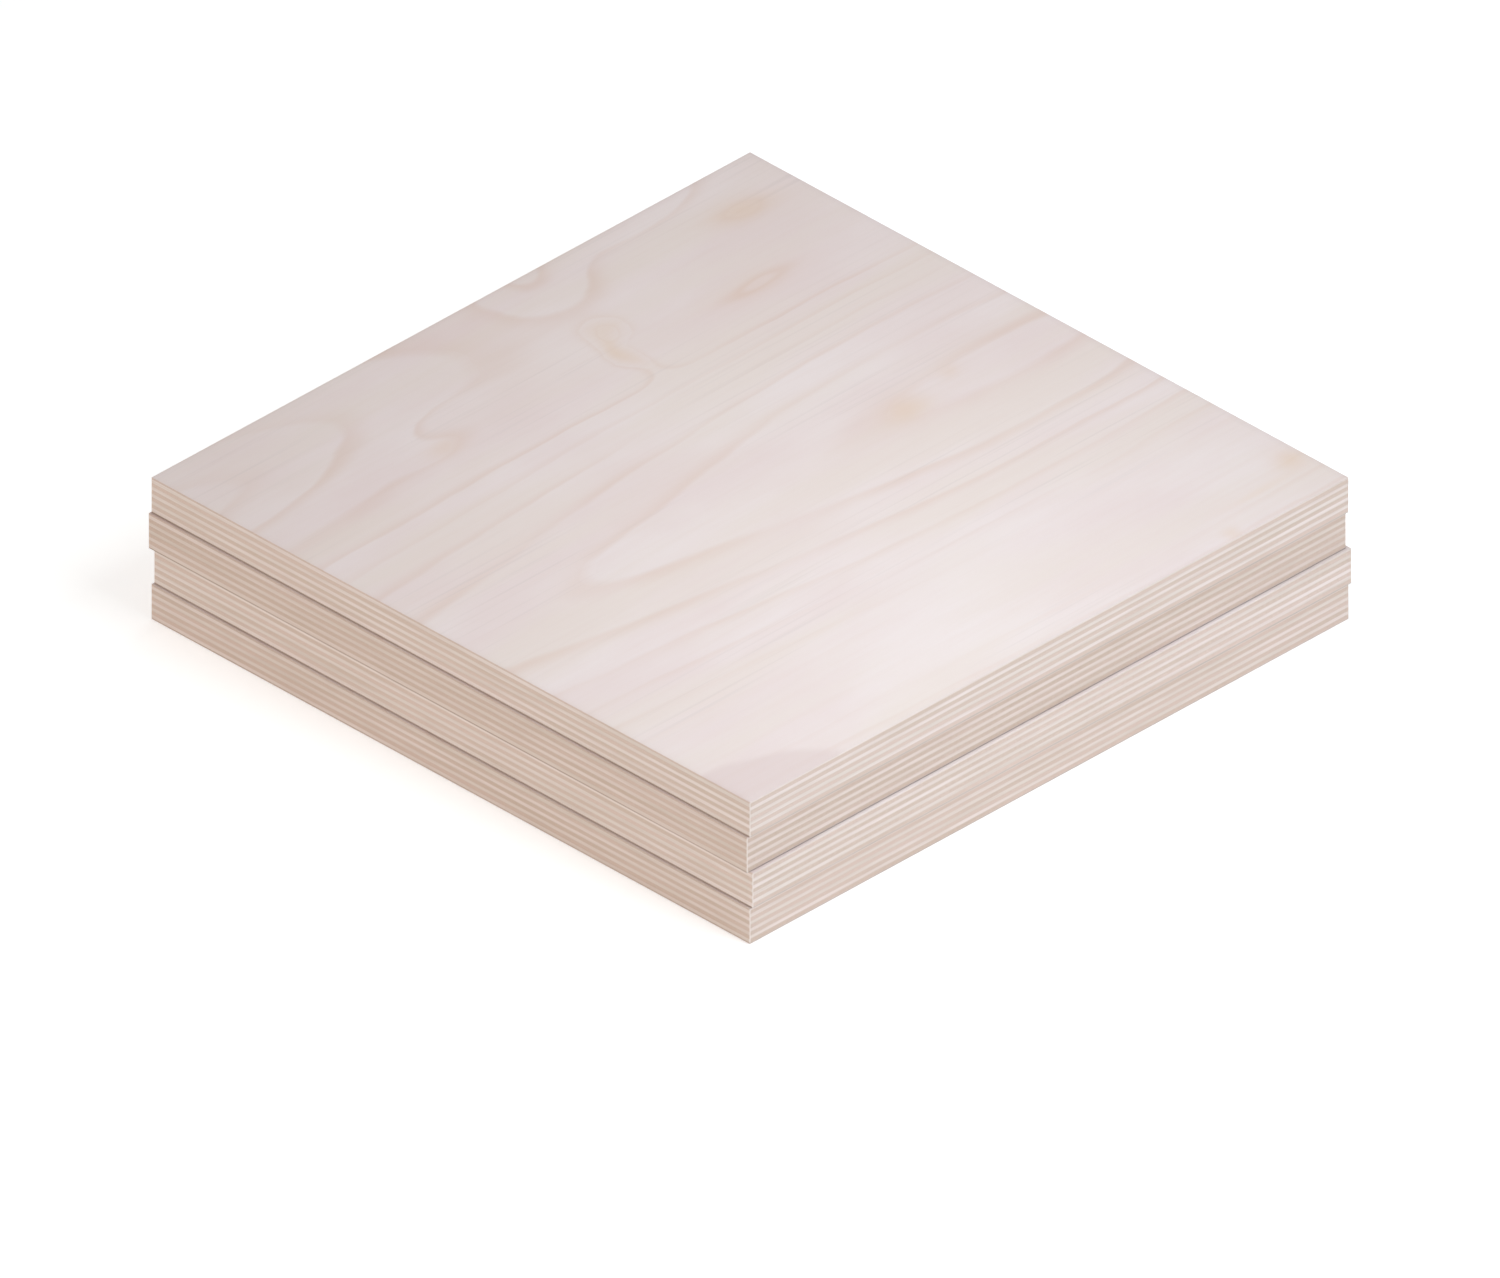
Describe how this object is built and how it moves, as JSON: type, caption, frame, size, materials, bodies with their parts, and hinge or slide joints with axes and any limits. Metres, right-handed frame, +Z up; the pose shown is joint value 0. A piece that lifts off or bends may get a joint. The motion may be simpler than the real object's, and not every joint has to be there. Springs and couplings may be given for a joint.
{
  "type": "stack of plywood sheets",
  "caption": "Square birch plywood sheets lying flat on one another with their edges in line, each glued up from thin cross-laid veneers that show as stripes on the sawn edges.",
  "frame": {"origin": "centre of the stack's underside, on the surface it lies on", "axes": "+Z up through the sheets, +X along the grain of the face veneers, +Y across that grain"},
  "size_m": [0.3016, 0.3012, 0.06],
  "materials": {
    "face_veneer": "fine-sanded, unfinished birch",
    "long_ply": "sawn, unfinished birch, grain along X",
    "crossband": "sawn, unfinished birch, grain along Y"
  },
  "bodies": {
    "root": {"sheet_1_face_veneer": "face_veneer", "sheet_1_crossband_1": "crossband", "sheet_1_crossband_2": "crossband", "sheet_1_crossband_3": "crossband", "sheet_1_crossband_4": "crossband", "sheet_1_crossband_5": "crossband", "sheet_1_long_ply_1": "long_ply", "sheet_1_long_ply_2": "long_ply", "sheet_1_long_ply_3": "long_ply", "sheet_1_long_ply_4": "long_ply", "sheet_1_back_veneer": "face_veneer", "sheet_2_face_veneer": "face_veneer", "sheet_2_crossband_1": "crossband", "sheet_2_crossband_2": "crossband", "sheet_2_crossband_3": "crossband", "sheet_2_crossband_4": "crossband", "sheet_2_crossband_5": "crossband", "sheet_2_long_ply_1": "long_ply", "sheet_2_long_ply_2": "long_ply", "sheet_2_long_ply_3": "long_ply", "sheet_2_long_ply_4": "long_ply", "sheet_2_back_veneer": "face_veneer", "sheet_3_face_veneer": "face_veneer", "sheet_3_crossband_1": "crossband", "sheet_3_crossband_2": "crossband", "sheet_3_crossband_3": "crossband", "sheet_3_crossband_4": "crossband", "sheet_3_crossband_5": "crossband", "sheet_3_long_ply_1": "long_ply", "sheet_3_long_ply_2": "long_ply", "sheet_3_long_ply_3": "long_ply", "sheet_3_long_ply_4": "long_ply", "sheet_3_back_veneer": "face_veneer", "sheet_4_face_veneer": "face_veneer", "sheet_4_crossband_1": "crossband", "sheet_4_crossband_2": "crossband", "sheet_4_crossband_3": "crossband", "sheet_4_crossband_4": "crossband", "sheet_4_crossband_5": "crossband", "sheet_4_long_ply_1": "long_ply", "sheet_4_long_ply_2": "long_ply", "sheet_4_long_ply_3": "long_ply", "sheet_4_long_ply_4": "long_ply", "sheet_4_back_veneer": "face_veneer"}
  },
  "joints": []
}
